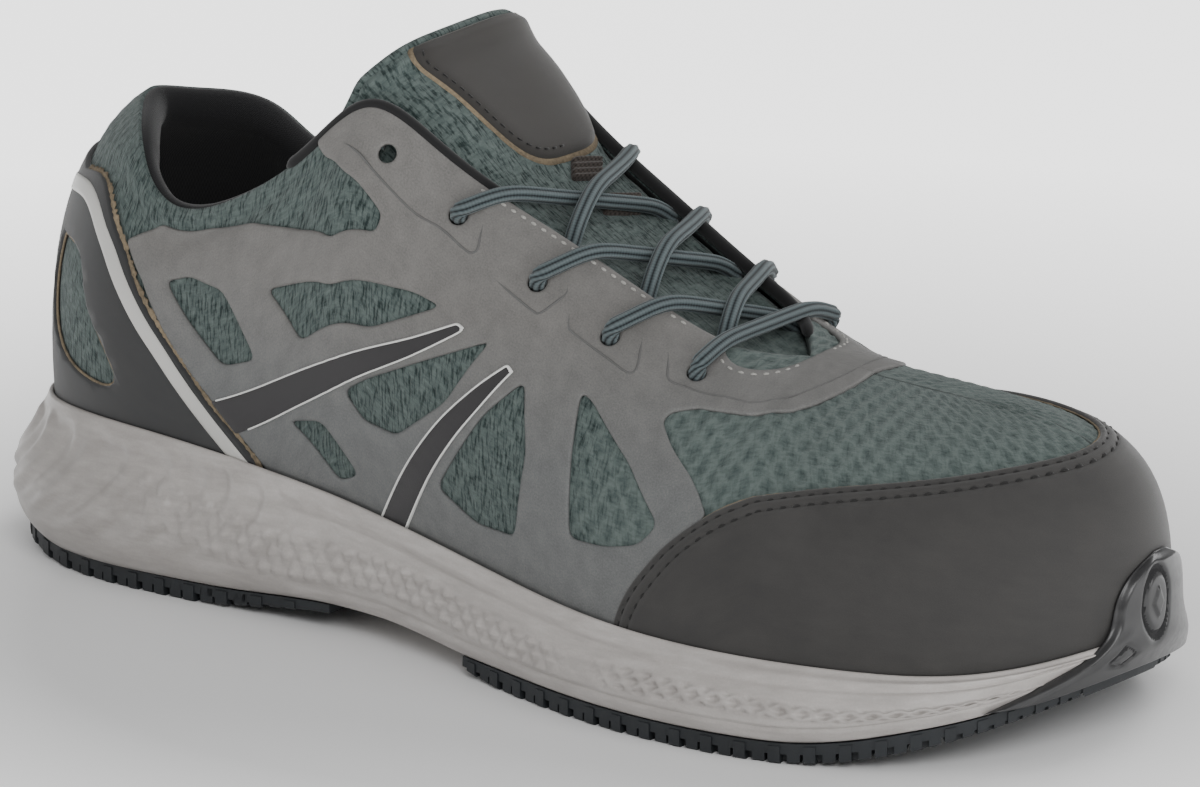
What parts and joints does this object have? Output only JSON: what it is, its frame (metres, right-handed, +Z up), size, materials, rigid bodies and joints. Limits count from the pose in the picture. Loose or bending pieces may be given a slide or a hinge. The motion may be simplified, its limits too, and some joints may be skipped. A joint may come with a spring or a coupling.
{
  "type": "safety sneaker",
  "caption": "Right safety sneaker: knitted upper with film cage, nubuck toe cap and heel counter, padded collar and tongue, round lace, foam midsole, lugged rubber outsole",
  "frame": {"origin": "Middle of the shoe's plan outline, on the floor under the lugs.", "axes": "+X runs from heel to toe, +Z is up, +Y points to the inner side of this right shoe and -Y to its outer side."},
  "size_m": [0.2984, 0.1138, 0.1248],
  "materials": {
    "rubber": "matt moulded",
    "gloss_rubber": "satin moulded",
    "foam": "matt moulded foam",
    "footbed": "matt textile",
    "knit": "coarse knitted mesh",
    "nubuck": "matt napped",
    "film": "matt fine grain",
    "reflective": "reflective tape",
    "lining": "soft knitted lining",
    "tongue_knit": "coarse knitted mesh",
    "label": "matt textile",
    "webbing": "ribbed webbing",
    "cord": "braided"
  },
  "bodies": {
    "root": {"outsole_heel": "rubber", "outsole_forefoot": "rubber", "toe_bumper": "gloss_rubber", "midsole": "foam", "insole": "footbed", "upper": "knit", "toe_cap": "nubuck", "heel_counter": "nubuck", "side_cage": "film", "side_blade": "nubuck", "reflective_band": "reflective", "collar_lining": "lining", "tongue": "tongue_knit", "tongue_label": "label", "lace_loop": "webbing", "lace_bar": "cord", "lace_cross_1": "cord", "lace_cross_2": "cord", "lace_cross_3": "cord"}
  },
  "joints": []
}
